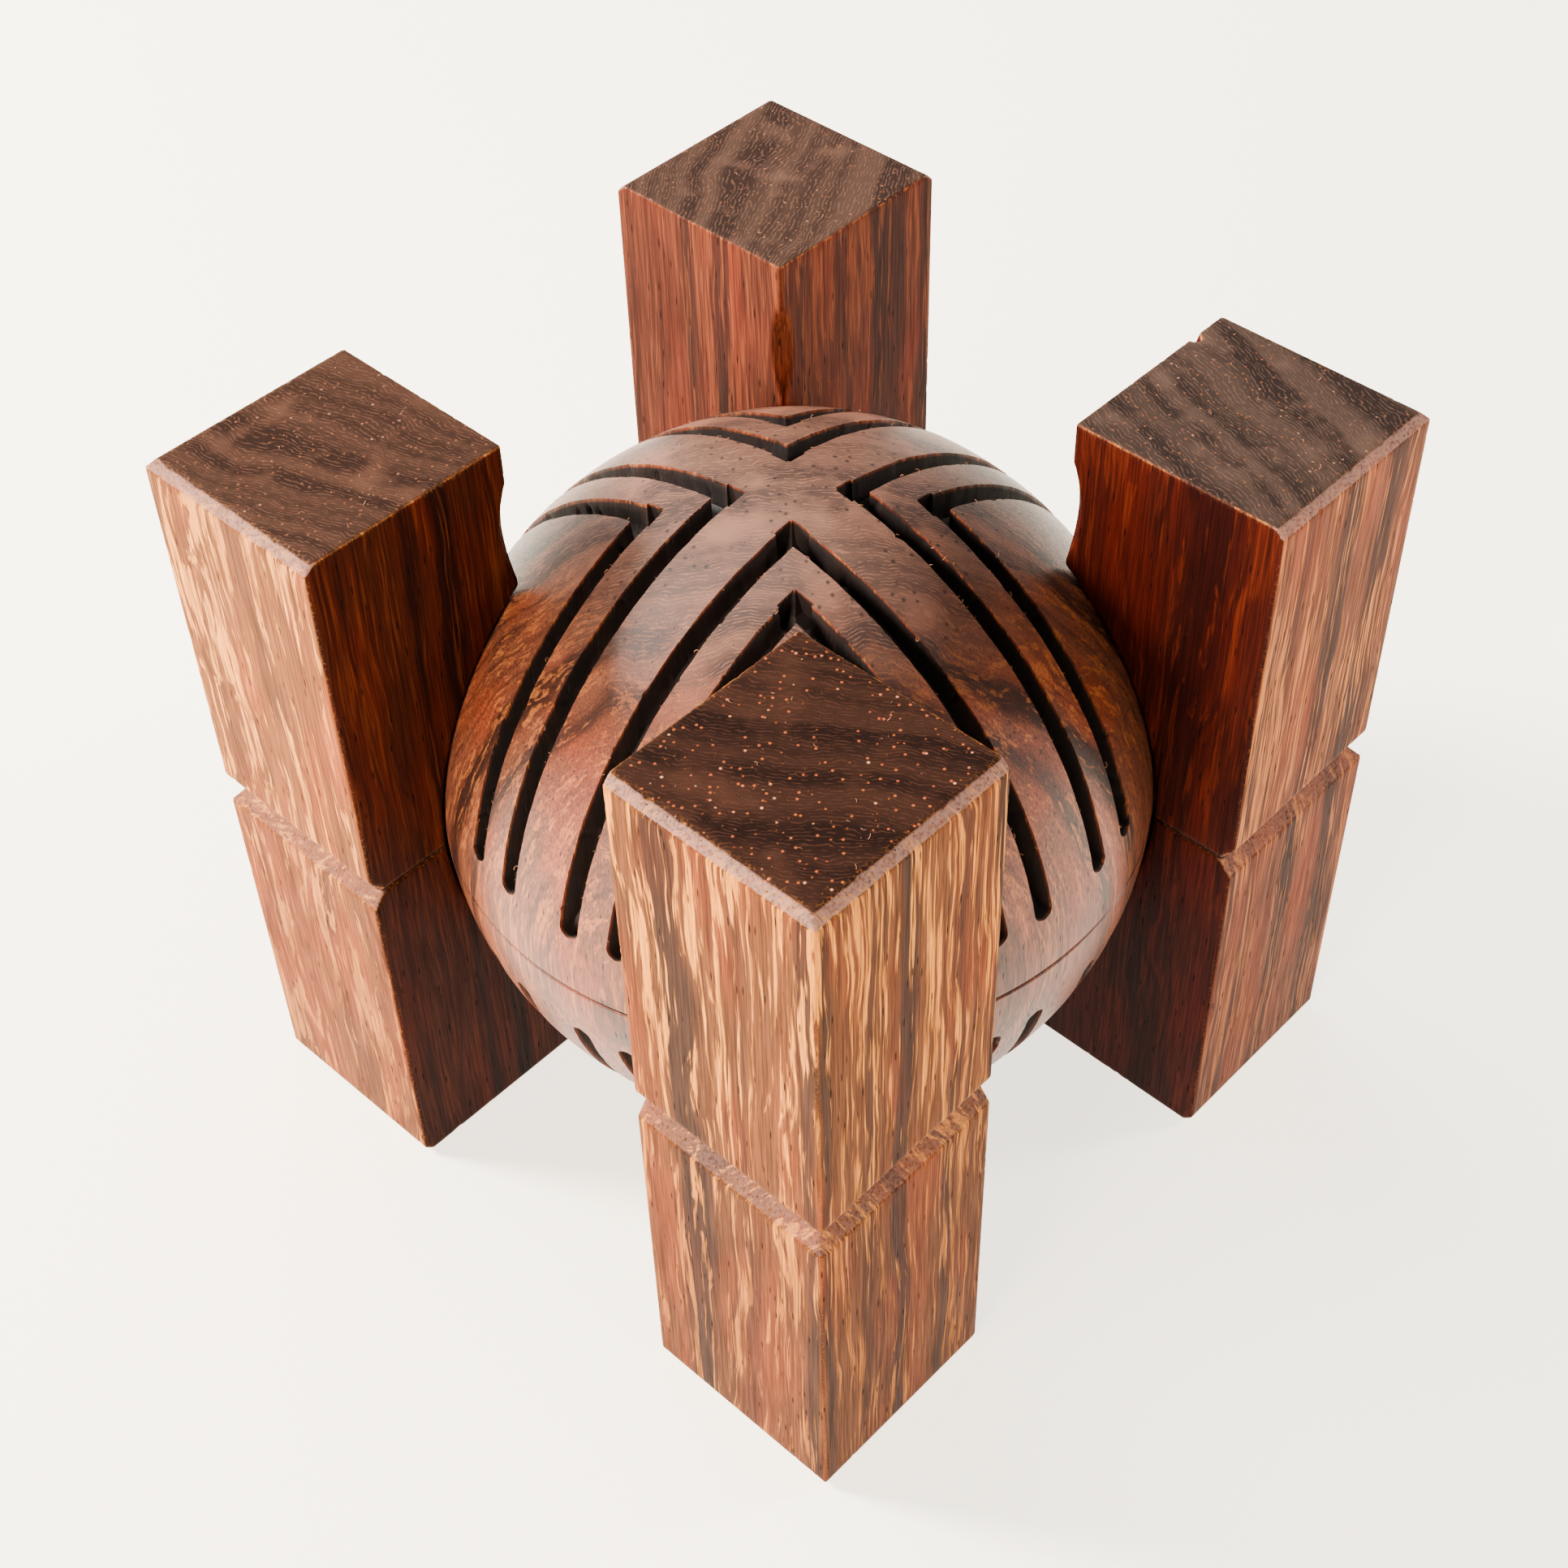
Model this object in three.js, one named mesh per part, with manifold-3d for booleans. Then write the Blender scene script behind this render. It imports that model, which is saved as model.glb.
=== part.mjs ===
// Wooden interlocking puzzle: a carved two-part ball caged by four square posts.
// Millimetres, +Z up. The origin is the middle of the footprint, on the surface it stands on.
// Each post is two blocks pinned together over a wedge-headed tongue. The four wedges sit in
// pockets shared by the two halves of the ball, so a post can only leave as the halves part.
import * as THREE from "three";
import { ConvexGeometry } from "three/addons/geometries/ConvexGeometry.js";
import { mergeVertices } from "three/addons/utils/BufferGeometryUtils.js";
import Module from "manifold-3d";

// ---- driving dimensions ----
const postSide = 25;            // square stock of the posts
const postSpacing = 40;         // clear distance between the inner faces of two posts
const height = 93;              // over the two blocks of a post
const endBevel = 1;             // bevel round the outer top and foot edges of a post
const seamBevelDepth = 1.5;     // half of the V that marks the joint between two blocks
const seamBevelHeight = 2.1;

const ballDiameter = 79.3;
const socketClearance = 0.35;   // air between the ball and the hollows in the posts
const hollowLength = 13.4;      // length of the turned relief in a post's corner, beyond the ball
const hollowDepth = 1.2;        // how deep it goes into the corner
const hollowLip = 0.9;          // corner left standing between the relief and the ball

const grooveWidth = 2.3;
const grooveDepth = 3.6;
const grooveOffsets = [4.5, 10.3];   // from the ball's middle planes to each groove's centre line
const grooveEndHeight = 7.4;    // where the grooves stop, above and below the joint of the ball

const tongueWidth = 12;
const tongueThickness = 4;      // of the flat root, let into both blocks
const tongueWall = 2.7;         // wood left between the root's outer corners and the V
const tongueReach = 17.6;       // how far the wedge goes into the ball
const wedgeInset = 0.4;         // where the wedge starts to thicken, inside the ball's surface
const wedgeSlope = 0.5;         // growth of half the wedge's thickness per length, inward
const pinDiameter = 6;
const pinLength = 25;
const centreDowelDiameter = 10;
const centreDowelLength = 24;

const seamGap = 0.3;            // drawn at every joint between two pieces
const fitGap = 0.3;             // around tongues, pins and the dowel

// ---- facets: round the axis, then from pole to pole ----
const ballFacets = [52, 32];
const socketFacets = [48, 32];
const grooveFloorFacets = [32, 20];
const reliefFacets = [56, 32];  // round the ring, then round its section
const pinSides = 24;
const dowelSides = 32;
const mergeDistance = 1e-4;     // corners closer than this are one corner

// ---- places worked out from them ----
const inner = postSpacing / 2;
const outer = inner + postSide;
const middle = height / 2;
const ballRadius = ballDiameter / 2;
const socketRadius = ballRadius + socketClearance;
const mouth = ballRadius - wedgeInset;
const wedgeEnd = ballRadius - tongueReach;
const rootEnd = (outer - seamBevelDepth - tongueWall) * Math.SQRT2 - tongueWidth / 2;
const pinPlace = (socketRadius + rootEnd) / 2;
const cornerReach = inner * Math.SQRT2;
const hollowRise = Math.sqrt(ballRadius ** 2 - cornerReach ** 2) + hollowLip + hollowLength / 2;
const far = 2 * height;         // longer than anything that it cuts

const wasm = await Module();
wasm.setup();

// ---- solids: joined and cut ----
function toSolid(geometry) {
  const bare = geometry.clone();
  bare.deleteAttribute("normal");
  bare.deleteAttribute("uv");
  const merged = mergeVertices(bare, mergeDistance);
  return new wasm.Manifold(new wasm.Mesh({
    numProp: 3,
    vertProperties: new Float32Array(merged.attributes.position.array),
    triVerts: new Uint32Array(merged.index.array),
  }));
}

function toGeometry(solid) {
  const mesh = solid.getMesh();
  const geometry = new THREE.BufferGeometry();
  geometry.setAttribute("position", new THREE.BufferAttribute(new Float32Array(mesh.vertProperties), 3));
  geometry.setIndex(new THREE.BufferAttribute(new Uint32Array(mesh.triVerts), 1));
  geometry.computeVertexNormals();
  return geometry;
}

function ball(radius, [around, rings]) {
  return toSolid(new THREE.SphereGeometry(radius, around, rings).rotateX(Math.PI / 2));
}

function box(from, to) {
  const size = to.map((value, axis) => value - from[axis]);
  const centre = to.map((value, axis) => (value + from[axis]) / 2);
  return toSolid(new THREE.BoxGeometry(...size).translate(...centre));
}

function uprightCylinder(diameter, length, x, sides) {
  const cylinder = new THREE.CylinderGeometry(diameter / 2, diameter / 2, length, sides);
  return toSolid(cylinder.rotateX(Math.PI / 2).translate(x, 0, 0));
}

// A shape drawn in the X-Z plane, thick about Y = 0.
function platedAlongY(shape, thickness) {
  const plate = new THREE.ExtrudeGeometry(shape, { depth: thickness, bevelEnabled: false });
  return plate.translate(0, 0, -thickness / 2).rotateX(Math.PI / 2);
}

// ---- posts ----
const corners = [
  { name: "front", x: -1, y: -1 },
  { name: "left", x: -1, y: 1 },
  { name: "back", x: 1, y: 1 },
  { name: "right", x: 1, y: -1 },
];
const angleOf = (corner) => Math.atan2(corner.y, corner.x) * 180 / Math.PI;

// The turned relief above and below the ball: a ring whose section is an arc.
const reliefRadius = (hollowLength ** 2 / 4 + hollowDepth ** 2) / (2 * hollowDepth);
const reliefCentre = cornerReach + hollowDepth - reliefRadius;

function cornerRelief(up) {
  const [around, section] = reliefFacets;
  const ring = new THREE.TorusGeometry(reliefCentre, reliefRadius, section, around);
  return toSolid(ring.translate(0, 0, up * hollowRise));
}

function wedgeShape(gap) {
  const half = tongueThickness / 2 + gap;
  const end = wedgeEnd - gap;
  const tall = half + (mouth - end) * wedgeSlope;
  const shape = new THREE.Shape();
  shape.moveTo(end, -tall);
  shape.lineTo(mouth, -half);
  shape.lineTo(rootEnd + gap, -half);
  shape.lineTo(rootEnd + gap, half);
  shape.lineTo(mouth, half);
  shape.lineTo(end, tall);
  shape.closePath();
  return shape;
}

function tongueSolid(gap) {
  return toSolid(platedAlongY(wedgeShape(gap), tongueWidth + 2 * gap));
}

function blockSolid(corner, up) {
  const points = [];
  const add = (x, y, z) => points.push(new THREE.Vector3(corner.x * x, corner.y * y, up * z));
  const level = (reach, z) => {
    add(inner, inner, z);
    add(reach, inner, z);
    add(inner, reach, z);
    add(reach, reach, z);
  };
  level(outer - seamBevelDepth, seamGap / 2);
  level(outer, seamBevelHeight);
  level(outer, middle - endBevel);
  level(outer - endBevel, middle);
  const pinHole = uprightCylinder(pinDiameter + 2 * fitGap, pinLength + 2 * fitGap, pinPlace, pinSides);
  const mortise = tongueSolid(fitGap).add(pinHole).rotate([0, 0, angleOf(corner)]);
  return toSolid(new ConvexGeometry(points))
    .subtract(ball(socketRadius, socketFacets))
    .subtract(cornerRelief(up))
    .subtract(mortise);
}

// ---- ball ----
// One groove: an upright slot with a round lower end, turning a right angle near the pole.
function grooveArm(offset) {
  const radius = grooveWidth / 2;
  const shape = new THREE.Shape();
  shape.moveTo(offset - radius, far);
  shape.lineTo(offset - radius, grooveEndHeight + radius);
  shape.absarc(offset, grooveEndHeight + radius, radius, Math.PI, 2 * Math.PI, false);
  shape.lineTo(offset + radius, far);
  shape.closePath();
  const arm = new THREE.ExtrudeGeometry(shape, { depth: far, bevelEnabled: false, curveSegments: 4 });
  return toSolid(arm.rotateX(Math.PI / 2).translate(0, far + offset - radius, 0));
}

function grooves() {
  const floor = ball(ballRadius - grooveDepth, grooveFloorFacets);
  let all = null;
  for (const offset of grooveOffsets) {
    const along = grooveArm(offset);
    const across = along.mirror([1, -1, 0]);
    const angled = along.add(across);
    for (let turn = 0; turn < 4; turn += 1) {
      const placed = angled.rotate([0, 0, 90 * turn]);
      all = all ? all.add(placed) : placed;
    }
  }
  return all.subtract(floor);
}

function upperHalf() {
  let half = ball(ballRadius, ballFacets)
    .intersect(box([-far, -far, seamGap / 2], [far, far, far]))
    .subtract(grooves());
  for (const corner of corners) {
    half = half.subtract(tongueSolid(fitGap).rotate([0, 0, angleOf(corner)]));
  }
  const bore = centreDowelDiameter + 2 * fitGap;
  return half.subtract(uprightCylinder(bore, centreDowelLength + 2 * fitGap, 0, dowelSides));
}

// ---- the object ----
const object = new THREE.Group();
const standing = new THREE.Group();
standing.position.z = middle;
object.add(standing);

function place(name, solid, colour, roughness) {
  const material = new THREE.MeshStandardMaterial({ color: colour, roughness, metalness: 0 });
  const mesh = new THREE.Mesh(toGeometry(solid), material);
  mesh.name = name;
  standing.add(mesh);
}

for (const corner of corners) {
  const tongue = tongueSolid(0)
    .subtract(uprightCylinder(pinDiameter + 2 * fitGap, far, pinPlace, pinSides))
    .rotate([0, 0, angleOf(corner)]);
  const pin = uprightCylinder(pinDiameter, pinLength, pinPlace, pinSides).rotate([0, 0, angleOf(corner)]);
  place(`${corner.name}_post_upper_block`, blockSolid(corner, 1), 0x8a5a3a, 0.5);
  place(`${corner.name}_post_lower_block`, blockSolid(corner, -1), 0x7d4f33, 0.5);
  place(`${corner.name}_post_tongue`, tongue, 0x6b3f28, 0.55);
  place(`${corner.name}_post_pin`, pin, 0xb08a5e, 0.6);
}

const upper = upperHalf();
place("upper_half_ball", upper, 0x7a4a30, 0.4);
place("lower_half_ball", upper.rotate([180, 0, 0]), 0x7a4a30, 0.4);
const dowel = uprightCylinder(centreDowelDiameter, centreDowelLength, 0, dowelSides);
place("centre_dowel", dowel, 0xb08a5e, 0.6);

export default object;
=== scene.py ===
"""Looks for a wooden interlocking puzzle: a carved two-part ball held by four square posts."""
import math

import bmesh
import bpy
import numpy as np
from mathutils import Matrix, Vector, noise


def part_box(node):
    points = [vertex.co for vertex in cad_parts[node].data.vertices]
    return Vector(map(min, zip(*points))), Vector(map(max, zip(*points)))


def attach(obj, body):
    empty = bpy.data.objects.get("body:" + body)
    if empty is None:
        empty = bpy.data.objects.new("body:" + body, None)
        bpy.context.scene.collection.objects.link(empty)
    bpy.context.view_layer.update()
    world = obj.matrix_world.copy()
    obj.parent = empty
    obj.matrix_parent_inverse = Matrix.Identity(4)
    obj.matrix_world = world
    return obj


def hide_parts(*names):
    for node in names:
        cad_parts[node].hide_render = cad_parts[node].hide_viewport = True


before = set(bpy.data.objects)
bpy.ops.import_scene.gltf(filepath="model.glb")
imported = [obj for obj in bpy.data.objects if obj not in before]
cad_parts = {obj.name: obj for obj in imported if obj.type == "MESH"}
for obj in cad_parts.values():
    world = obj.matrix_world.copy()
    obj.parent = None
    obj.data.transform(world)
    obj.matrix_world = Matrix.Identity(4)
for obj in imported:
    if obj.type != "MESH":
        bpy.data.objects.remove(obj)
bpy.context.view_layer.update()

mm = 0.001


# ======================================================================================
# The two halves of the ball: dark rosewood turned as one ball with the grain upright,
# sawn round the middle, then carved by hand with nested angular grooves. The cut edges
# are left a little torn, and the face is sanded and waxed to a dull sheen.
# ======================================================================================
upper_low, upper_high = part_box("upper_half_ball")
lower_low, lower_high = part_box("lower_half_ball")
ball_radius = (upper_high.x - upper_low.x) / 2
ball_centre = Vector((0, 0, (upper_low.z + lower_high.z) / 2))
half_gap = (upper_low.z - lower_high.z) / 2

groove_offsets = (4.5 * mm, 10.3 * mm)
groove_width = 2.3 * mm
groove_depth = 3.6 * mm
groove_end = 7.4 * mm
groove_overshoot = 0.25 * mm
fit_gap = 0.3 * mm


def make_mesh(name, points, faces):
    mesh = bpy.data.meshes.new(name)
    mesh.from_pydata([tuple(point) for point in points], [], faces)
    mesh.update()
    thing = bpy.data.objects.new(name, mesh)
    bpy.context.scene.collection.objects.link(thing)
    return thing


def discard(thing):
    mesh = thing.data
    bpy.data.objects.remove(thing)
    bpy.data.meshes.remove(mesh)


def settle(thing):
    """Applies the object's modifiers and drops the old mesh."""
    depsgraph = bpy.context.evaluated_depsgraph_get()
    mesh = bpy.data.meshes.new_from_object(thing.evaluated_get(depsgraph))
    old = thing.data
    thing.modifiers.clear()
    thing.data = mesh
    mesh.name = thing.name
    bpy.data.meshes.remove(old)


def carve(thing, cutter, operation="DIFFERENCE"):
    cut = thing.modifiers.new("cut", "BOOLEAN")
    cut.object = cutter
    cut.operation = operation
    cut.solver = "EXACT"
    settle(thing)
    discard(cutter)


def tube(name, rings):
    """A closed skin over a row of rings that have the same number of points."""
    count = len(rings[0])
    points = [point for ring in rings for point in ring]
    faces = []
    for row in range(len(rings) - 1):
        for i in range(count):
            j = (i + 1) % count
            low, high = row * count, (row + 1) * count
            faces.append((low + i, low + j, high + j, high + i))
    faces.append(tuple(range(count))[::-1])
    faces.append(tuple((len(rings) - 1) * count + i for i in range(count)))
    thing = make_mesh(name, points, faces)
    outward(thing)
    return thing


def outward(thing):
    shape = bmesh.new()
    shape.from_mesh(thing.data)
    bmesh.ops.recalc_face_normals(shape, faces=shape.faces)
    shape.to_mesh(thing.data)
    shape.free()


def wander(point, scale, seed):
    """Smooth noise between about -1 and 1 that changes over the length scale."""
    return noise.noise(Vector(point) / scale + Vector((seed, -seed, 2 * seed)))


def torn(point, across, seed):
    """How far a cut edge wanders: fine fibres everywhere, and a chip now and then."""
    fibres = wander(point, 0.6 * mm, seed) * 0.02 * mm + wander(point, 2.1 * mm, seed + 5) * 0.06 * mm
    chip = max(0.0, wander(point, 1.1 * mm, seed + 9) - 0.45) * 0.8 * mm
    return (fibres + chip) * (0.5 + across)


def groove_arm(offset, mirrored, turns, seed):
    """Cutter for one straight arm of a groove, an upright slot that follows the ball down."""
    reach = math.sqrt(ball_radius ** 2 - offset ** 2)
    radius = groove_width / 2
    start = math.acos((offset - radius - groove_overshoot) / reach)
    end = math.asin(groove_end / reach)
    steps = int((start - end) * reach / (0.35 * mm))
    turn = Matrix.Rotation(turns * math.pi / 2, 3, "Z")
    rings = []
    for step in range(steps + 1):
        angle = start + (end - start) * step / steps
        left = (angle - end) * reach
        half = radius if left > radius else math.sqrt(max(0.02, 1 - (1 - left / radius) ** 2)) * radius
        depth = groove_depth * min(1.0, 0.45 + left / (5 * mm))
        section = [(-1.15, 1.6 * mm), (-1, 0.2 * mm), (-1, -0.3 * mm), (-0.98, -0.9 * mm),
                   (-0.96, -0.6 * depth), (-0.9, -0.85 * depth), (-0.5, -depth), (0, -1.04 * depth)]
        section += [(-side, rise) for side, rise in reversed(section[:-1])]
        ring = []
        for side, rise in section:
            point = Vector((offset + side * half, (reach + rise) * math.cos(angle),
                            (reach + rise) * math.sin(angle)))
            if mirrored:
                point.x, point.y = point.y, point.x
            point = turn @ point
            shift = torn(point, math.sin(angle), seed) * side * half / radius
            push = Vector((0, shift, 0)) if mirrored else Vector((shift, 0, 0))
            ring.append(point + turn @ push)
        rings.append(ring)
    return tube("groove", rings)


def joined(things):
    """One mesh object from several that don't cross."""
    points, faces = [], []
    for thing in things:
        first = len(points)
        points += [vertex.co.copy() for vertex in thing.data.vertices]
        faces += [tuple(first + i for i in face.vertices) for face in thing.data.polygons]
        discard(thing)
    return make_mesh("joined", points, faces)


def dome(around, rings):
    """Half a ball on a flat base, with its rim broken by a hair's breadth."""
    rim = 0.15 * mm
    profile = [(ball_radius - rim, half_gap)]
    first = math.asin((half_gap + rim) / ball_radius)
    for i in range(rings):
        angle = first + (math.pi / 2 - first) * i / rings
        profile.append((ball_radius * math.cos(angle), ball_radius * math.sin(angle)))
    points, faces = [], []
    for row, (reach, rise) in enumerate(profile):
        for i in range(around):
            turn = 2 * math.pi * i / around
            point = Vector((reach * math.cos(turn), reach * math.sin(turn), rise))
            if row:
                point *= 1 + wander(point, 9 * mm, 3) * 0.0014
            points.append(point)
            if row:
                j = (i + 1) % around
                low, high = (row - 1) * around, row * around
                faces.append((low + i, low + j, high + j, high + i))
    points.append(Vector((0, 0, ball_radius)))
    last = (len(profile) - 1) * around
    faces += [(last + i, last + (i + 1) % around, len(points) - 1) for i in range(around)]
    faces.append(tuple(range(around))[::-1])
    return make_mesh("dome", points, faces)


# the wedge-headed tongue, whose shape is also cut out of the ball and the posts
tongue_width = 12 * mm
tongue_root = 2 * mm            # half the thickness of its flat root
wedge_slope = 0.5
wedge_mouth = ball_radius - 0.4 * mm
wedge_end = ball_radius - 17.6 * mm
tongue_end = 51.73 * mm
pin_place = (ball_radius + 0.35 * mm + tongue_end) / 2
pin_radius = 3 * mm
pin_hole_reach = 12.8 * mm      # half the length of the hole for a pin
dowel_radius = 5 * mm
bore_reach = 12.3 * mm          # half the length of the hole for the dowel
post_angles = {"front": -135, "left": 135, "back": 45, "right": -45}


def tongue_shape(name, gap, angle):
    half = tongue_root + gap
    end = wedge_end - gap
    tall = half + (wedge_mouth - end) * wedge_slope
    outline = [(end, -tall), (wedge_mouth, -half), (tongue_end + gap, -half),
               (tongue_end + gap, half), (wedge_mouth, half), (end, tall)]
    turn = Matrix.Rotation(math.radians(angle), 3, "Z")
    wide = tongue_width / 2 + gap
    rings = [[turn @ Vector((u, side, z)) for u, z in outline] for side in (-wide, wide)]
    return tube(name, rings)


def rod(name, radius, low, high, place=Vector((0, 0, 0)), sides=48):
    rings = []
    for z in (low, high):
        rings.append([place + Vector((radius * math.cos(2 * math.pi * i / sides),
                                      radius * math.sin(2 * math.pi * i / sides), z)) for i in range(sides)])
    return tube(name, rings)


def shade(thing, angle=35):
    thing.data.shade_smooth()
    thing.data.set_sharp_from_angle(angle=math.radians(angle))


def half_ball(name, up):
    thing = dome(288, 76)
    carve(thing, rod("bore", dowel_radius + fit_gap, -bore_reach, bore_reach))
    for angle in post_angles.values():
        carve(thing, tongue_shape("pocket", fit_gap, angle))
    for mirrored in (False, True):
        arms = [groove_arm(offset, mirrored, turns, 11 if up > 0 else 31)
                for offset in groove_offsets for turns in range(4)]
        carve(thing, joined(arms))
    place = Matrix.Translation(ball_centre)
    if up < 0:
        place = place @ Matrix.Rotation(math.pi, 4, "X")
    thing.data.transform(place)
    thing.name = thing.data.name = name
    shade(thing)
    return thing


class Wire:
    """One output in a finish. Arithmetic on it adds Math nodes."""

    def __init__(self, finish, socket):
        self.finish, self.socket = finish, socket

    def math(self, operation, *values):
        return self.finish.node("Math", {"operation": operation}, dict(enumerate(values)))

    def __add__(self, other):
        return self.math("ADD", self, other)

    def __radd__(self, other):
        return self.math("ADD", other, self)

    def __sub__(self, other):
        return self.math("SUBTRACT", self, other)

    def __rsub__(self, other):
        return self.math("SUBTRACT", other, self)

    def __mul__(self, other):
        return self.math("MULTIPLY", self, other)

    def __rmul__(self, other):
        return self.math("MULTIPLY", other, self)

    def __truediv__(self, other):
        return self.math("DIVIDE", self, other)

    def step(self, low, high):
        """0 below low, 1 above high, and smooth between. Low may be the larger."""
        names = {"Value": self, "From Min": low, "From Max": high}
        return self.finish.node("MapRange", {"interpolation_type": "SMOOTHSTEP"}, names)


class Finish:
    """A material, built node by node around its Principled shader."""

    def __init__(self, name):
        self.material = bpy.data.materials.new(name)
        self.material.use_nodes = True
        self.tree = self.material.node_tree
        self.shader = self.tree.nodes["Principled BSDF"]

    def node(self, kind, settings=None, inputs=None, output=0):
        made = self.tree.nodes.new("ShaderNode" + kind)
        for key, value in (settings or {}).items():
            setattr(made, key, value)
        self.feed(made, inputs or {})
        return Wire(self, made.outputs[output])

    def feed(self, made, inputs):
        for key, value in inputs.items():
            if isinstance(value, Wire):
                self.tree.links.new(value.socket, made.inputs[key])
            else:
                made.inputs[key].default_value = value

    def stretch(self, vector, factors):
        return self.node("VectorMath", {"operation": "MULTIPLY"}, {0: vector, 1: factors})

    def noise(self, vector, factors, detail=2.0, roughness=0.5):
        inputs = {"Vector": self.stretch(vector, factors), "Scale": 1.0, "Detail": detail,
                  "Roughness": roughness}
        return self.node("TexNoise", {}, inputs)

    def noise_along(self, value, detail=1.0):
        return self.node("TexNoise", {"noise_dimensions": "1D"}, {"W": value, "Scale": 1.0, "Detail": detail})

    def mix(self, amount, first, second, blend="MIX"):
        settings = {"data_type": "RGBA", "blend_type": blend}
        return self.node("Mix", settings, {0: amount, 6: first, 7: second}, 2)

    def attribute(self, name):
        return self.node("Attribute", {"attribute_name": name}, {}, "Fac")


def paint(red, green, blue):
    """A colour given in display values from 0 to 255, as the shader wants it."""
    def linear(value):
        value /= 255
        return value / 12.92 if value <= 0.04045 else ((value + 0.055) / 1.055) ** 2.4
    return (linear(red), linear(green), linear(blue), 1.0)


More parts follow.
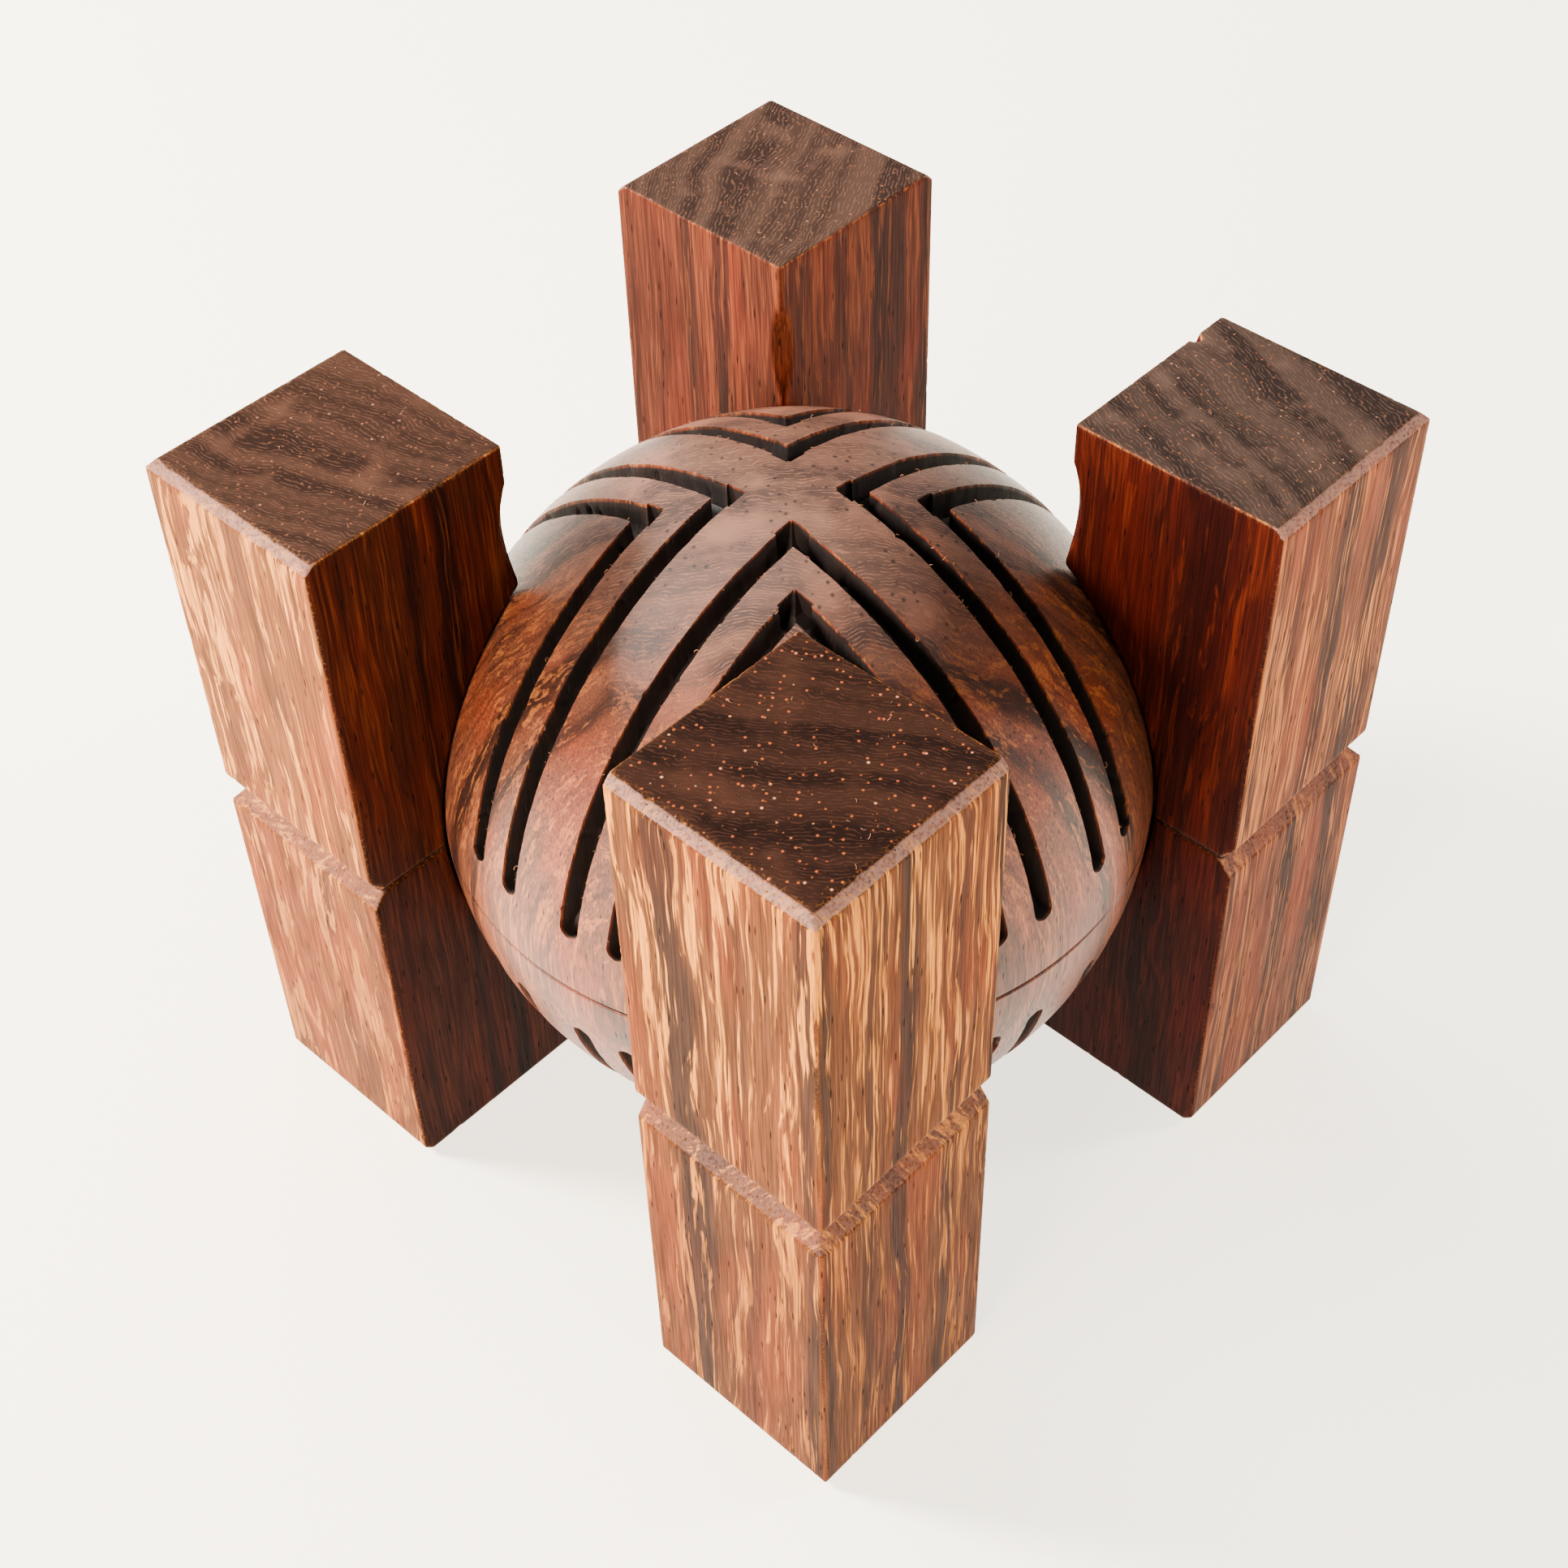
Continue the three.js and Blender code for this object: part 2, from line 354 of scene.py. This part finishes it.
def rosewood(name, turn, shift, body, dark, streak, flame=1.0, streaks=1.0, gloss=0.5,
             shine=0.03, end=(42, 24, 17), dots=((158, 76, 38), (204, 146, 110)), dot_size=1.0,
             inner_shade_tint=(1, 1, 1), cut=None):
    """Solid dark rosewood with the grain upright.

    turn and shift set how the growth rings lie in the piece, in degrees and millimetres.
    flame sets how much the rings wave along the grain, and streaks how strong the flecks
    are. gloss is the roughness, and shine the strength of the reflection. end is the
    colour of the sawn end, dots are the two colours of its filled pores, and dot_size
    spreads them. The inner tint is painted shade: it darkens the faces that look in
    towards the ball and the other posts. cut is the centre and radius of a turned face:
    what lies below that face, such as the walls of the grooves, is painted near black as
    shade and made rougher.
    """
    wood = Finish(name)
    here = wood.node("TexCoord", {}, {}, "Object")
    facing = wood.node("TexCoord", {}, {}, "Normal")
    rise = wood.node("SeparateXYZ", {}, {0: facing}, "Z")
    tilt = rise.math("ABSOLUTE", rise)
    end_grain = tilt.step(0.62, 0.97)
    place = wood.node("Mapping", {}, {"Vector": here, "Scale": (1000, 1000, 1000),
                                      "Rotation": (0, 0, math.radians(turn)), "Location": shift})
    across = wood.node("SeparateXYZ", {}, {0: place}, "X")
    along = wood.node("SeparateXYZ", {}, {0: place}, "Y")
    height = wood.node("SeparateXYZ", {}, {0: place}, "Z")

    # growth rings: slow bends across the piece, and longer waves along the grain
    slow = wood.noise(place, (0.05, 0.05, 0.008), 1.0)
    lean = wood.noise(place, (0.12, 0.12, 0.04), 2.0)
    small = wood.noise(place, (0.6, 0.6, 0.05), 2.0)
    ring = across + (slow - 0.5) * 5.0 + (lean - 0.5) * (3.4 * flame) + (small - 0.5) * 0.5
    broad = wood.noise_along(ring * 0.26, 1.0)
    band = wood.noise_along(ring * 0.9 + 17.0, 2.0)
    blotch = wood.noise(place, (0.16, 0.16, 0.04), 2.0)

    # the long grain: brown with purple-black bands, long gold flecks, fine dark vessels
    colour = wood.mix(broad.step(0.46, 0.66), body, dark)
    colour = wood.mix(band.step(0.54, 0.74) * 0.6, colour, dark)
    warm = wood.mix(1.0, colour, (1.7, 1.05, 0.7, 1), "MULTIPLY")
    colour = wood.mix(blotch.step(0.42, 0.70) * 0.7, colour, warm)
    sheet = wood.node("CombineXYZ", {}, {0: ring, 1: along, 2: height})
    grain = wood.noise(sheet, (2.3, 0.7, 0.06), 3.0, 0.62)
    patch = wood.noise(sheet, (0.28, 0.14, 0.03), 1.0)
    # painted shade: the flecks are weaker towards the bottom of each piece
    foot_fleck_shade = height.step(15, 70) * 0.45 + 0.55
    fleck = (grain + (patch - 0.5) * 0.34).step(0.53, 0.62)
    # painted shade mask for the inner faces, which look towards the ball and the other posts; the flecks are
    # weakened there too
    inner_shade = wood.attribute("inner_shade_mask")
    colour = wood.mix(fleck * foot_fleck_shade * (1 - inner_shade * 0.6) * streaks, colour, streak)
    fibre = wood.noise(place, (5.0, 5.0, 0.12), 3.0, 0.6)
    fine = fibre.step(0.34, 0.66)
    shaded = wood.mix(1.0, colour, (0.58, 0.54, 0.52, 1), "MULTIPLY")
    lifted = wood.mix(1.0, colour, (1.35, 1.3, 1.25, 1), "MULTIPLY")
    colour = wood.mix(fine, shaded, lifted)
    pore = wood.node("TexVoronoi", {}, {"Vector": wood.stretch(place, (1.25, 1.25, 0.2)), "Scale": 1.0})
    vessel = pore.step(0.17, 0.08)
    colour = wood.mix(vessel * 0.85, colour, paint(20, 8, 6))

    # painted shade: the wood is darker and cooler below about 60 mm, fully so below 30 mm
    foot_shade = wood.mix(1.0, colour, (0.78, 0.74, 0.80, 1), "MULTIPLY")
    colour = wood.mix(height.step(60, 30), colour, foot_shade)

    # the end grain: dark, with fine wavy light lines and filled pores
    ripple = wood.noise(place, (0.9, 0.9, 0.02), 2.0)
    phase = (ring / 0.42 + ripple * 1.6) * (2 * math.pi)
    gaps = wood.noise(place, (2.2, 0.9, 0.02), 2.0)
    light_line = phase.math("SINE", phase).step(0.1, 1.0) * gaps.step(0.40, 0.58)
    deep = wood.mix(1.0, paint(*end), (0.30, 0.32, 0.38, 1), "MULTIPLY")
    pale = wood.mix(1.0, paint(*end), (2.3, 2.2, 2.1, 1), "MULTIPLY")
    sawn = wood.mix(broad.step(0.38, 0.62) * 0.85, paint(*end), deep)
    sawn = wood.mix(blotch.step(0.50, 0.74) * 0.5, sawn, pale)
    sawn = wood.mix(light_line * 0.55, sawn, pale)
    spread = {"Vector": wood.stretch(place, (1.3, 1.3, 0.1)), "Scale": 1 / dot_size}
    spots = wood.node("TexVoronoi", {}, spread)
    tint = wood.node("TexVoronoi", {}, spread, "Color")
    chance = wood.node("SeparateXYZ", {}, {0: tint}, "X")
    hue = wood.node("SeparateXYZ", {}, {0: tint}, "Y")
    dot = spots.step(0.24, 0.12) * chance.step(0.34, 0.40)
    filled = wood.mix(hue.step(0.80, 0.98), paint(*dots[0]), paint(*dots[1]))
    sawn = wood.mix(dot * 0.85, sawn, filled)
    colour = wood.mix(end_grain, colour, sawn)

    # painted shade: the inner faces are darkened by the inner tint
    inner_shaded = wood.mix(1.0, colour, (*inner_shade_tint, 1), "MULTIPLY")
    colour = wood.mix(inner_shade, colour, inner_shaded)

    # sawn bevels and worn arrises: dusty, paler and rougher; the arrises' paler streak is partly a painted
    # edge highlight
    facet = wood.attribute("facet") * tilt.step(0.30, 0.48) * tilt.step(0.95, 0.80)
    arris = wood.attribute("arris")
    scratch = wood.noise(place, (3.0, 3.0, 3.0), 2.0)
    pit = wood.node("TexVoronoi", {}, {"Vector": wood.stretch(place, (1.6, 1.6, 1.6)), "Scale": 1.0})
    above = height - ball_centre.z / mm
    joint = above.math("ABSOLUTE", above).step(3.2, 2.6)
    dust = (scratch.step(0.36, 0.56) * 0.4 + 0.4) * (1 - pit.step(0.22, 0.12) * 0.8)
    colour = wood.mix(facet * dust * (1 - joint * 0.6), colour, paint(134, 100, 90))
    # the arrises' paler streak: torn fibres, and partly a painted edge highlight
    colour = wood.mix(arris * scratch.step(0.50, 0.70) * 0.2, colour, streak)

    # painted shade: below the turned face, in the grooves and pockets, the ball is painted near black and
    # made rougher
    groove_shade = 0.0
    if cut:
        centre, radius = cut
        offset = wood.node("VectorMath", {"operation": "SUBTRACT"}, {0: here, 1: centre})
        reach = wood.node("VectorMath", {"operation": "LENGTH"}, {0: offset}, "Value")
        groove_shade = reach.step(radius - 0.08 * mm, radius - 0.5 * mm)
        colour = wood.mix(groove_shade * 0.97, colour, paint(13, 4, 3))

    relief = fleck * 0.2 + fibre * 0.5 - vessel * 1.1 + light_line * end_grain * 0.5 + dot * end_grain * 0.3
    bump = wood.node("Bump", {}, {"Strength": 0.5, "Distance": 0.05 * mm, "Height": relief})
    rough = gloss + (1 - fine) * 0.10 + vessel * 0.2 + end_grain * 0.12 + facet * 0.2 + groove_shade * 0.25
    wood.feed(wood.shader, {"Base Color": colour, "Roughness": rough, "Normal": bump,
                            "Specular IOR Level": shine})
    return wood.material


ball_wood = rosewood("ball_rosewood", -40, (3, 1, 0), paint(98, 53, 36), paint(42, 22, 17),
                     paint(172, 98, 48), flame=1.6, streaks=0.5, gloss=0.34, shine=0.34,
                     end=(88, 58, 45), dots=((22, 11, 9), (46, 22, 15)), dot_size=1.6,
                     cut=(ball_centre, ball_radius))

upper_half = half_ball("upper_half_of_ball", 1)
lower_half = half_ball("lower_half_of_ball", -1)
for half, node, body in ((upper_half, "upper_half_ball", "upper_ball"),
                         (lower_half, "lower_half_ball", "lower_ball")):
    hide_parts(node)
    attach(half, body)
    half.data.materials.append(ball_wood)


# ======================================================================================
# The dowel in the middle that lines up the two halves of the ball. Pale plain hardwood,
# bought as rod, cut to length with its ends broken, and glued into the lower half.
# ======================================================================================
def fluted_rod(name, low, high, place, radius, flutes, depth, bevel):
    """A dowel with flutes down its side and broken ends."""
    sides = flutes * 8
    rings = []
    for z, inset in ((low, bevel), (low + bevel, 0), (high - bevel, 0), (high, bevel)):
        ring = []
        for i in range(sides):
            turn = 2 * math.pi * i / sides
            reach = radius - inset - depth * (0.5 + 0.5 * math.cos(flutes * turn)) ** 4
            ring.append(place + Vector((reach * math.cos(turn), reach * math.sin(turn), z)))
        rings.append(ring)
    return tube(name, rings)


dowel_wood = rosewood("pale_dowel", 0, (7, 3, 0), paint(160, 122, 80), paint(132, 96, 60),
                      paint(180, 146, 104), flame=0.5, streaks=0.3, gloss=0.6,
                      end=(150, 112, 74), dots=((96, 64, 40), (180, 146, 104)))


def finish_piece(thing, body, node, material):
    shade(thing)
    thing.data.materials.append(material)
    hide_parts(node)
    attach(thing, body)


dowel_low, dowel_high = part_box("centre_dowel")
dowel = fluted_rod("middle_dowel", dowel_low.z, dowel_high.z, Vector((0, 0, 0)), dowel_radius, 16,
                   0.25 * mm, 0.8 * mm)
finish_piece(dowel, "lower_ball", "centre_dowel", dowel_wood)


# ======================================================================================
# The four tongues: rosewood plates with a thick wedge at the inner end, planed and waxed
# so that they slide. Each is glued between the two blocks of its post and held by a pin,
# a short fluted dowel that goes through it into both blocks.
# ======================================================================================
tongue_wood = rosewood("tongue_rosewood", 35, (0, 9, 0), paint(84, 46, 28), paint(42, 24, 19),
                       paint(150, 92, 48), flame=0.8, streaks=0.5, gloss=0.4)

for side, angle in post_angles.items():
    turn = math.radians(angle)
    pin_at = Vector((pin_place * math.cos(turn), pin_place * math.sin(turn), 0))
    plate = tongue_shape(f"{side}_tongue", 0, angle)
    carve(plate, rod("hole", pin_radius + fit_gap, -20 * mm, 20 * mm, pin_at))
    plate.name = f"{side}_tongue"
    soft = plate.modifiers.new("broken edges", "BEVEL")
    soft.width = 0.25 * mm
    soft.segments = 2
    soft.limit_method = "ANGLE"
    settle(plate)
    plate.data.transform(Matrix.Translation(ball_centre))
    finish_piece(plate, f"{side}_post", f"{side}_post_tongue", tongue_wood)
    low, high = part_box(f"{side}_post_pin")
    pin = fluted_rod(f"{side}_pin", low.z, high.z, pin_at, pin_radius, 12, 0.2 * mm, 0.6 * mm)
    finish_piece(pin, f"{side}_post", f"{side}_post_pin", dowel_wood)


# ======================================================================================
# The posts: two blocks each, sawn one after the other from the same stick, so that the
# figure runs on across the joint. Both ends of the two outer faces are bevelled, which
# leaves a V at the joint. The inner corner is hollowed to the ball, with a turned relief
# beyond it, and every arris is left as sawn, sharp and a little torn.
# ======================================================================================
socket_radius = ball_radius + 0.35 * mm
end_bevel = 1.0 * mm
seam_bevel_depth = 1.5 * mm
seam_bevel_height = 2.1 * mm
relief_length = 13.4 * mm
relief_depth = 1.2 * mm
relief_lip = 0.9 * mm
block_grain = 0.32 * mm   # facets of the blocks' skin
corner_signs = {"front": (-1, -1), "left": (-1, 1), "back": (1, 1), "right": (1, -1)}


def relief_ring(corner_reach, up):
    radius = (relief_length ** 2 / 4 + relief_depth ** 2) / (2 * relief_depth)
    centre = corner_reach + relief_depth - radius
    middle = math.sqrt(ball_radius ** 2 - corner_reach ** 2) + relief_lip + relief_length / 2
    around, section = 120, 64
    rings = []
    for i in range(around):
        turn = 2 * math.pi * i / around
        ring = []
        for j in range(section):
            lean = 2 * math.pi * j / section
            reach = centre + radius * math.cos(lean)
            rise = up * middle + radius * math.sin(lean)
            ring.append(Vector((reach * math.cos(turn), reach * math.sin(turn), rise)))
        rings.append(ring)
    points = [point for ring in rings for point in ring]
    faces = []
    for row in range(around):
        for i in range(section):
            j = (i + 1) % section
            low, high = row * section, (row + 1) % around * section
            faces.append((low + i, low + j, high + j, high + i))
    thing = make_mesh("relief", points, faces)
    outward(thing)
    return thing


def ball_cutter(radius):
    shape = bmesh.new()
    bmesh.ops.create_uvsphere(shape, u_segments=192, v_segments=96, radius=radius)
    thing = make_mesh("socket", [], [])
    shape.to_mesh(thing.data)
    shape.free()
    return thing


def block(name, side, up, node, nick=None):
    low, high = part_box(node)
    x_sign, y_sign = corner_signs[side]
    inner = min(abs(low.x), abs(high.x))
    outer = max(abs(low.x), abs(high.x))
    end = max(abs(low.z - ball_centre.z), abs(high.z - ball_centre.z))
    shape = bmesh.new()
    for reach, rise in ((outer - seam_bevel_depth, half_gap), (outer, seam_bevel_height),
                        (outer, end - end_bevel), (outer - end_bevel, end)):
        for x, y in ((inner, inner), (reach, inner), (inner, reach), (reach, reach)):
            shape.verts.new((x_sign * x, y_sign * y, up * rise))
    bmesh.ops.convex_hull(shape, input=shape.verts)
    bmesh.ops.remove_doubles(shape, verts=shape.verts, dist=1e-6)
    bmesh.ops.dissolve_limit(shape, angle_limit=0.01, verts=shape.verts, edges=shape.edges)
    bmesh.ops.recalc_face_normals(shape, faces=shape.faces)
    planes = [(face.normal.copy(), face.normal.dot(face.verts[0].co)) for face in shape.faces]
    thing = make_mesh(name, [], [])
    shape.to_mesh(thing.data)
    shape.free()
    carve(thing, ball_cutter(socket_radius))
    carve(thing, relief_ring(inner * math.sqrt(2), up))
    angle = post_angles[side]
    carve(thing, tongue_shape("mortise", fit_gap, angle))
    turn = math.radians(angle)
    pin_at = Vector((pin_place * math.cos(turn), pin_place * math.sin(turn), 0))
    carve(thing, rod("hole", pin_radius + fit_gap, -pin_hole_reach, pin_hole_reach, pin_at))
    if nick:
        chip = ball_cutter(0.75 * mm)
        chip.data.transform(Matrix.Translation(nick) @ Matrix.Diagonal((1, 1.3, 1.2, 1)))
        carve(thing, chip)
    skin = thing.modifiers.new("skin", "REMESH")
    skin.mode = "VOXEL"
    skin.voxel_size = block_grain
    settle(thing)
    wear(thing, planes, 7 if up > 0 else 19)
    thing.data.transform(Matrix.Translation(ball_centre))
    thing.data.shade_smooth()
    return thing


def wear(thing, planes, seed):
    """Chips the arrises a little, and marks them, the bevels and the inner faces (for painted shade) for the
    finish.
    """
    mesh = thing.data
    count = len(mesh.vertices)
    places = np.empty(count * 3)
    mesh.vertices.foreach_get("co", places)
    places = places.reshape(-1, 3)
    normals = np.array([normal[:] for normal, offset in planes])
    offsets = np.array([offset for normal, offset in planes])
    depths = offsets[None, :] - places @ normals.T
    order = np.argsort(depths, axis=1)
    nearest = np.take_along_axis(depths, order[:, :1], axis=1)[:, 0]
    second = np.take_along_axis(depths, order[:, 1:2], axis=1)[:, 0]
    bevelled = (np.abs(normals[:, 2]) > 0.2) & (np.abs(normals[:, 2]) < 0.95)
    facet = np.clip(1.6 - depths[:, bevelled].min(axis=1) / (0.3 * mm), 0, 1)
    arris = np.clip(1 - second / (0.45 * mm), 0, 1) * (nearest < 0.25 * mm)
    # painted shade mask: the faces that look in, and the hollows for the ball and the tongue
    looks_in = (offsets < 0) & (np.abs(normals[:, 2]) < 0.1)
    inner_shade_mask = looks_in[order[:, 0]] | (nearest > 0.25 * mm)
    for i in np.nonzero((second < 0.9 * mm) & (nearest < 0.3 * mm))[0]:
        point = Vector(places[i])
        stretched = Vector((point.x / (0.8 * mm), point.y / (0.8 * mm), point.z / (3 * mm) + seed))
        long_chip = noise.noise(stretched)
        short_chip = noise.noise(point / (0.7 * mm) + Vector((seed, 0, 0)))
        bite = max(0.0, long_chip - 0.38) * 0.5 + max(0.0, short_chip - 0.5) * 0.6 + 0.02
        bite *= mm * (1 - second[i] / (0.9 * mm)) ** 2
        away = normals[order[i, 0]] + normals[order[i, 1]]
        places[i] -= away * bite * 0.6
    mesh.vertices.foreach_set("co", places.ravel())
    for label, values in (("facet", facet), ("arris", arris), ("inner_shade_mask", inner_shade_mask)):
        layer = mesh.attributes.new(label, "FLOAT", "POINT")
        layer.data.foreach_set("value", values.astype(np.float32))
    mesh.update()


# the left, right and back posts get a greyer, paler sawn end and duller pores: partly painted sheen, the
# sky's reflection on their tops
greyed_top_dots = ((104, 62, 42), (136, 98, 80))
# the inner tint of each post darkens its inner faces: painted shade
stick_looks = {
    "front": dict(turn=-30, shift=(4, 0, 0), body=paint(90, 50, 22), dark=paint(48, 28, 19),
                  streak=paint(184, 114, 36), flame=1.0),
    "left": dict(turn=-15, shift=(9, 5, 0), body=paint(108, 62, 30), dark=paint(58, 33, 21),
                 streak=paint(190, 122, 54), flame=1.2, end=(58, 38, 29), dots=greyed_top_dots,
                 inner_shade_tint=(0.16, 0.09, 0.11)),
    "back": dict(turn=60, shift=(1, 8, 0), body=paint(84, 42, 26), dark=paint(48, 26, 20),
                 streak=paint(140, 78, 42), flame=0.8, end=(64, 46, 38), dots=greyed_top_dots,
                 inner_shade_tint=(0.80, 0.66, 0.66)),
    "right": dict(turn=20, shift=(6, 2, 0), body=paint(90, 50, 32), dark=paint(50, 29, 23),
                  streak=paint(156, 94, 46), flame=0.9, end=(56, 43, 37), dots=greyed_top_dots,
                  inner_shade_tint=(0.22, 0.09, 0.10)),
}

for side, look in stick_looks.items():
    stick = rosewood(f"{side}_post_rosewood", **look)
    for level, up in (("upper", 1), ("lower", -1)):
        node = f"{side}_post_{level}_block"
        nick = Vector((39.3, -20, 46.5)) * mm if node == "right_post_upper_block" else None
        piece = block(f"{side}_{level}_block", side, up, node, nick)
        piece.data.materials.append(stick)
        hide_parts(node)
        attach(piece, f"{side}_post")


# ======================================================================================
# Loose fibres: short curled threads of wood that the saw and the carving knife left, a few
# on each post's sawn top and more along the lips of the grooves in the ball.
# ======================================================================================
thread_wood = Finish("loose_thread")
thread_wood.feed(thread_wood.shader, {"Base Color": paint(150, 98, 66), "Roughness": 0.8})


def thread_tree():
    """Scatters curled threads over the faces of a mesh."""
    tree = bpy.data.node_groups.new("loose_threads", "GeometryNodeTree")
    ports = {}
    for label, kind in (("Geometry", "Geometry"), ("Density", "Float"), ("Curl radius", "Float"),
                        ("Thickness", "Float"), ("Seed", "Int"), ("Material", "Material")):
        ports[label] = tree.interface.new_socket(label, in_out="INPUT", socket_type="NodeSocket" + kind)
    tree.interface.new_socket("Geometry", in_out="OUTPUT", socket_type="NodeSocketGeometry")
    into = tree.nodes.new("NodeGroupInput")
    out = tree.nodes.new("NodeGroupOutput")

    def node(kind, links, settings=None):
        made = tree.nodes.new(kind)
        for key, value in (settings or {}).items():
            setattr(made, key, value)
        for key, value in links.items():
            if isinstance(value, bpy.types.NodeSocket):
                tree.links.new(value, made.inputs[key])
            else:
                made.inputs[key].default_value = value
        return made

    spots = node("GeometryNodeDistributePointsOnFaces", {
        "Mesh": into.outputs["Geometry"], "Density": into.outputs["Density"],
        "Seed": into.outputs["Seed"]})
    curl = node("GeometryNodeCurveArc", {"Resolution": 5, "Radius": into.outputs["Curl radius"],
                                         "Sweep Angle": math.radians(150)})
    section = node("GeometryNodeCurvePrimitiveCircle", {"Resolution": 4,
                                                        "Radius": into.outputs["Thickness"]})
    thread = node("GeometryNodeCurveToMesh", {"Curve": curl.outputs["Curve"],
                                              "Profile Curve": section.outputs["Curve"],
                                              "Fill Caps": True})
    spin = node("FunctionNodeRandomValue", {0: (-1.0, -1.0, 0.0), 1: (1.0, 1.0, 2 * math.pi),
                                            "Seed": into.outputs["Seed"]}, {"data_type": "FLOAT_VECTOR"})
    growth = node("FunctionNodeRandomValue", {2: 0.4, 3: 1.5, "Seed": into.outputs["Seed"]})
    placed = node("GeometryNodeInstanceOnPoints", {
        "Points": spots.outputs["Points"], "Instance": thread.outputs["Mesh"],
        "Rotation": spin.outputs[0], "Scale": growth.outputs[1]})
    real = node("GeometryNodeRealizeInstances", {"Geometry": placed.outputs["Instances"]})
    dressed = node("GeometryNodeSetMaterial", {"Geometry": real.outputs["Geometry"],
                                               "Material": into.outputs["Material"]})
    tree.links.new(dressed.outputs["Geometry"], out.inputs["Geometry"])
    return tree, {label: port.identifier for label, port in ports.items()}


threads, thread_port = thread_tree()


def scatter_threads(name, points, faces, body, density, seed):
    thing = make_mesh(name, points, faces)
    grow = thing.modifiers.new("threads", "NODES")
    grow.node_group = threads
    for label, value in (("Density", density), ("Curl radius", 0.22 * mm), ("Thickness", 0.02 * mm),
                         ("Seed", seed), ("Material", thread_wood.material)):
        grow[thread_port[label]] = value
    settle(thing)
    outward(thing)
    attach(thing, body)


for side, (x_sign, y_sign) in corner_signs.items():
    low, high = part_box(f"{side}_post_upper_block")
    edge = 1.5 * mm
    corners = [(low.x + edge, low.y + edge), (high.x - edge, low.y + edge),
               (high.x - edge, high.y - edge), (low.x + edge, high.y - edge)]
    scatter_threads(f"{side}_post_threads", [(x, y, high.z) for x, y in corners], [(0, 1, 2, 3)],
                    f"{side}_post", 9e4, 3)

lip_points, lip_faces = [], []
for offset in groove_offsets:
    for mirrored in (False, True):
        for turns in range(4):
            for edge in (-1, 1):
                side = offset + edge * groove_width / 2
                reach = math.sqrt(ball_radius ** 2 - side ** 2)
                first = math.acos((offset + groove_width / 2) / reach)
                last = math.asin((groove_end + groove_width / 2) / reach)
                spin = Matrix.Rotation(turns * math.pi / 2, 3, "Z")
                strip = []
                for step in range(41):
                    angle = first + (last - first) * step / 40
                    for shift in (-0.06 * mm, 0.06 * mm):
                        point = Vector((side + shift, reach * math.cos(angle), reach * math.sin(angle)))
                        if mirrored:
                            point.x, point.y = point.y, point.x
                        strip.append(spin @ point)
                base = len(lip_points)
                lip_points += [point + ball_centre for point in strip]
                for step in range(40):
                    a, b = strip[2 * step], strip[2 * step + 3]
                    if min(max(abs(p.x) < 19 * mm, abs(p.y) < 19 * mm) for p in (a, b)):
                        start = base + 2 * step
                        lip_faces.append((start, start + 1, start + 3, start + 2))
scatter_threads("groove_threads", lip_points, lip_faces, "upper_ball", 2e6, 5)


# ======================================================================================
# The table top, the window light from the left and the viewpoint.
# ======================================================================================
top = make_mesh("table_top", [(-2, -2, 0), (2, -2, 0), (2, 2, 0), (-2, 2, 0)], [(0, 1, 2, 3)])
card = Finish("pale_card")
card.feed(card.shader, {"Base Color": paint(246, 237, 216), "Roughness": 0.9,
                        "Emission Color": (1.0, 0.93, 0.80, 1), "Emission Strength": 2.5})
top.data.materials.append(card.material)

world = bpy.data.worlds.new("pale_room")
bpy.context.scene.world = world
world.use_nodes = True
sky = world.node_tree
height = sky.nodes.new("ShaderNodeSeparateXYZ")
sky.links.new(sky.nodes.new("ShaderNodeTexCoord").outputs["Generated"], height.inputs[0])
glow = sky.nodes.new("ShaderNodeMapRange")
sky.links.new(height.outputs["Z"], glow.inputs["Value"])
glow.inputs["From Min"].default_value = 0.05
glow.inputs["From Max"].default_value = 0.35
glow.inputs["To Min"].default_value = 2.0
glow.inputs["To Max"].default_value = 0.15
sky.links.new(glow.outputs[0], sky.nodes["Background"].inputs["Strength"])
sky.nodes["Background"].inputs["Color"].default_value = (1.0, 0.965, 0.92, 1)


def lamp(name, azimuth, elevation, distance, size, power, colour):
    light = bpy.data.lights.new(name, "AREA")
    light.shape = "DISK"
    light.size = size
    light.energy = power
    light.color = colour
    thing = bpy.data.objects.new(name, light)
    turn, tilt = math.radians(azimuth), math.radians(elevation)
    along = Vector((math.cos(turn) * math.cos(tilt), math.sin(turn) * math.cos(tilt), math.sin(tilt)))
    thing.location = ball_centre + along * distance
    thing.rotation_euler = (-along).to_track_quat("-Z", "Y").to_euler()
    thing.visible_camera = False
    bpy.context.scene.collection.objects.link(thing)


lamp("left_window", 120, 30, 0.80, 0.22, 32, (1.0, 0.94, 0.86))
lamp("low_left", 190, 14, 0.90, 0.36, 20, (1.0, 0.90, 0.76))
lamp("right_window", -34, 24, 0.80, 0.18, 7, (1.0, 0.94, 0.88))
lamp("overhead", 75, 68, 0.90, 0.50, 8, (1.0, 0.95, 0.89))

eye = Vector((-0.1400, -0.1353, 0.2460))
aim = Vector((-0.0032, -0.0010, 0.0465))
roll = math.radians(1.8)
camera_data = bpy.data.cameras.new("viewpoint")
camera_data.lens = 57.2
camera_data.sensor_width = 36
camera = bpy.data.objects.new("viewpoint", camera_data)
camera.location = eye
camera.rotation_mode = "QUATERNION"
look_along = (aim - eye).to_track_quat("-Z", "Y")
camera.rotation_quaternion = look_along @ Matrix.Rotation(-roll, 4, "Z").to_quaternion()
bpy.context.scene.collection.objects.link(camera)
bpy.context.scene.camera = camera
